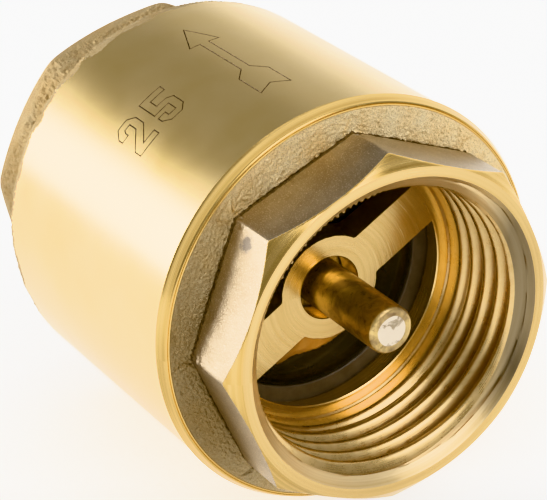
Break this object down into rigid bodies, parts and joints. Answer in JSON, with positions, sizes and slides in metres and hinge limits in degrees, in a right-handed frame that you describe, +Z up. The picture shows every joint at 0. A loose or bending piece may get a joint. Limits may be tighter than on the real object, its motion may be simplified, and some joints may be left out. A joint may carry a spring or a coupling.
{
  "type": "check valve",
  "caption": "Straight spring check valve in brass: octagonal female-threaded ends, turned cylindrical housing, and a guided poppet with rubber seal that lifts against a spring.",
  "frame": {"origin": "on the flow axis, half way between the two end faces", "axes": "X is the flow axis: the inlet face looks to +X and water flows towards -X. +Z is up as the valve lies on its side"},
  "size_m": [0.0536, 0.045, 0.045],
  "materials": {
    "housing_brass": "fine turned satin cylinder, rough as-forged shoulder and boss, machined thread",
    "fitting_brass": "as-forged boss and rough shoulder, machined face, flange, thread and bridge",
    "stem_brass": "drawn rod, slightly tarnished, bright faced tip",
    "nut_brass": "machined",
    "plate_plastic": "glossy black moulding",
    "seal_rubber": "black nitrile rubber, flat ground face",
    "ring_rubber": "black nitrile rubber O-ring",
    "spring_steel": "drawn stainless wire"
  },
  "bodies": {
    "body": {"housing": "housing_brass", "inlet_fitting": "fitting_brass", "body_seal_ring": "ring_rubber", "spring": "spring_steel"},
    "poppet": {"stem": "stem_brass", "poppet_front_plate": "plate_plastic", "seat_seal": "seal_rubber", "poppet_back_plate": "plate_plastic", "poppet_nut": "nut_brass"}
  },
  "joints": [
    {"name": "poppet_slide", "type": "slide", "parent": "body", "child": "poppet", "axis": [-1, 0, 0], "range_m": [0, 0.007], "stiffness_N_per_m": 500, "springref_m": -0.0033, "deforming": ["spring"]}
  ]
}
